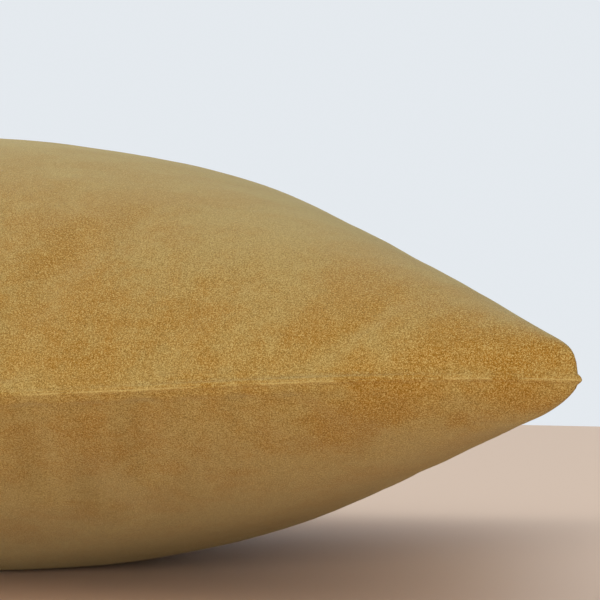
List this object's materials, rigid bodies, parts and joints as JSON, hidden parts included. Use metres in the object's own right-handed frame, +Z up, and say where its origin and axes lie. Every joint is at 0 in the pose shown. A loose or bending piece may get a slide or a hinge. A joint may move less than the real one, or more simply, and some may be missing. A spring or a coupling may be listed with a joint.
{
  "type": "throw pillow",
  "caption": "Square knife-edge velvet throw pillow: zipped two-panel cover over a sewn, fibre-filled cotton insert, lying flat.",
  "frame": {"origin": "under the middle of the pillow, on the surface that it lies on", "axes": "+Z up through the crown, X and Y along the sides; the zip is in the +Y side"},
  "size_m": [0.494, 0.494, 0.1662],
  "materials": {
    "velvet": "mustard short-pile cut velvet, pale sheen at grazing angles, soft pile marks",
    "cover_thread": "matching spun polyester sewing thread",
    "zip_tape": "tightly woven narrow tape, matt",
    "zip_coil": "nylon monofilament coil, satin",
    "zip_metal": "lacquered die-cast metal, worn at the edges",
    "insert_cotton": "plain-weave unbleached cotton, matt",
    "insert_thread": "white spun polyester sewing thread",
    "fibre_fill": "loose hollow-fibre wadding",
    "label_satin": "blank woven satin label"
  },
  "bodies": {
    "cushion": {"cover_top_panel": "velvet", "cover_bottom_panel": "velvet", "overlock_front": "cover_thread", "overlock_left": "cover_thread", "overlock_right": "cover_thread", "overlock_back_left": "cover_thread", "overlock_back_right": "cover_thread", "zip_tape_upper": "zip_tape", "zip_tape_lower": "zip_tape", "zip_coil_upper": "zip_coil", "zip_coil_lower": "zip_coil", "zip_top_stop_upper": "zip_metal", "zip_top_stop_lower": "zip_metal", "zip_bottom_stop": "zip_metal", "zip_end_tack_left": "cover_thread", "zip_end_tack_right": "cover_thread", "insert_casing_top": "insert_cotton", "insert_casing_bottom": "insert_cotton", "insert_overlock_front": "insert_thread", "insert_overlock_back": "insert_thread", "insert_overlock_left": "insert_thread", "insert_overlock_right": "insert_thread", "insert_fill": "fibre_fill", "care_label": "label_satin", "insert_label": "label_satin"},
    "slider": {"zip_slider": "zip_metal"},
    "pull": {"zip_pull": "zip_metal"}
  },
  "joints": [
    {"name": "zip_slide", "type": "slide", "parent": "cushion", "child": "slider", "axis": [1, 0, 0], "range_m": [0, 0.334]},
    {"name": "pull_swing", "type": "hinge", "parent": "slider", "child": "pull", "pos_m": [-0.167, 0.2357, 0.072], "axis": [0, 0, 1], "range_deg": [0, 180]}
  ]
}
